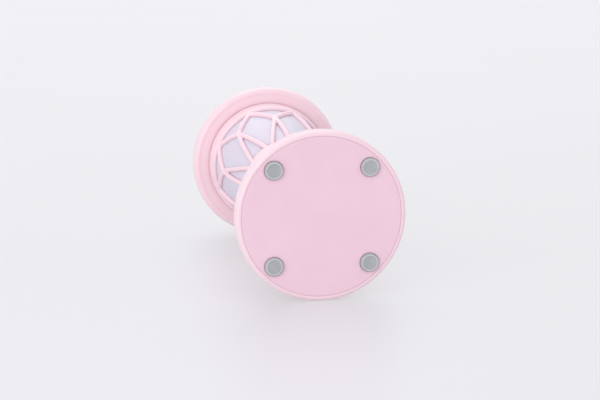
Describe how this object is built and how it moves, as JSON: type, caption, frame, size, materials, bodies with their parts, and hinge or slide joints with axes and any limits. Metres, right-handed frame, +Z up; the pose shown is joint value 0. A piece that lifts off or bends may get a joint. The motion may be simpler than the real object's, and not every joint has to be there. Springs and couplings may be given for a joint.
{
  "type": "ice cream maker",
  "caption": "Personal ice cream maker: round base and pedestal turn a frozen bowl inside a diamond lattice cage under a rounded rim, with lid and paddle.",
  "frame": {"origin": "centre of the underside, on the surface the feet stand on", "axes": "+Z up along the turning axis of the bowl, -Y towards the front with the power button, +X to the right seen from the front"},
  "size_m": [0.13, 0.13, 0.2721],
  "materials": {
    "bare_aluminium": "spun aluminium",
    "blush_plastic": "smooth satin-gloss moulding, pale pink",
    "blush_satin": "fine satin moulding, pale pink",
    "brass": "turned",
    "cell_sleeve": "heat-shrunk sleeve",
    "circuit_board": "solder mask",
    "coolant": "sealed coolant gel",
    "dark_plastic": "plain dark moulding",
    "grey_plastic": "plain inner moulding",
    "grey_rubber": "matt silicone rubber",
    "lamp_lens": "frosted lens",
    "nylon": "natural nylon",
    "steel": "plain steel",
    "white_plastic": "smooth white moulding"
  },
  "bodies": {
    "stand": {"base_housing": "blush_plastic", "base_plate": "blush_satin", "foot_1": "grey_rubber", "foot_2": "grey_rubber", "foot_3": "grey_rubber", "foot_4": "grey_rubber", "base_screws": "steel", "gear_plate": "grey_plastic", "gear_plate_screws": "steel", "idler_axle": "steel", "lower_bush": "brass", "middle_bearing": "steel", "motor_can": "steel", "motor_bush": "brass", "motor_screws": "steel", "motor_magnets": "steel", "motor_end_cap": "dark_plastic", "battery_tray": "grey_plastic", "battery_cell_left": "cell_sleeve", "battery_cell_right": "cell_sleeve", "battery_cap": "grey_plastic", "control_board": "circuit_board", "button_switch": "dark_plastic", "charge_board": "circuit_board", "charging_socket": "steel", "pedestal_shell": "blush_plastic", "pedestal_screws": "steel", "pedestal_head": "white_plastic", "upper_bearing": "steel", "shaft_seal": "grey_rubber", "button_bezel": "white_plastic", "status_lens": "lamp_lens", "cage": "blush_plastic", "cage_screws": "steel", "rim_ring": "blush_plastic", "rim_top": "blush_plastic"},
    "bowl": {"drive_shaft": "steel", "output_gear": "nylon", "drive_dog": "nylon", "bowl_socket": "white_plastic", "bowl_shell": "white_plastic", "coolant_gel": "coolant", "bowl_liner": "bare_aluminium", "bowl_rim": "white_plastic"},
    "idler": {"compound_gear": "nylon"},
    "rotor": {"motor_shaft": "steel", "motor_pinion": "brass", "motor_armature": "steel", "motor_commutator": "brass"},
    "lid": {"lid_shell": "blush_plastic", "lid_seal": "grey_rubber", "lid_knob": "white_plastic", "knob_screw": "steel", "paddle": "white_plastic", "hinge_pin": "steel"},
    "cap": {"filler_cap": "white_plastic"},
    "button": {"power_button": "white_plastic"}
  },
  "joints": [
    {"name": "bowl_spin", "type": "hinge", "parent": "stand", "child": "bowl", "pos_m": [0, 0, 0.1], "axis": [0, 0, 1], "continuous": true},
    {"name": "idler_spin", "type": "hinge", "parent": "stand", "child": "idler", "pos_m": [0.0225, 0.01666, 0.012], "axis": [0, 0, 1], "continuous": true},
    {"name": "rotor_spin", "type": "hinge", "parent": "stand", "child": "rotor", "pos_m": [0, 0.025, 0.04], "axis": [0, 0, 1], "continuous": true},
    {"name": "lid_lift", "type": "slide", "parent": "stand", "child": "lid", "axis": [0, 0, 1], "range_m": [0, 0.085]},
    {"name": "cap_hinge", "type": "hinge", "parent": "lid", "child": "cap", "pos_m": [0, -0.0126, 0.2628], "axis": [-1, 0, 0], "range_deg": [0, 95]},
    {"name": "button_press", "type": "slide", "parent": "stand", "child": "button", "axis": [0, 1, 0], "range_m": [0, 0.0012], "stiffness_N_per_m": 800}
  ],
  "couplings": [
    {"joint": "idler_spin", "follows": "bowl_spin", "ratio": -3},
    {"joint": "rotor_spin", "follows": "bowl_spin", "ratio": 9.8571}
  ]
}
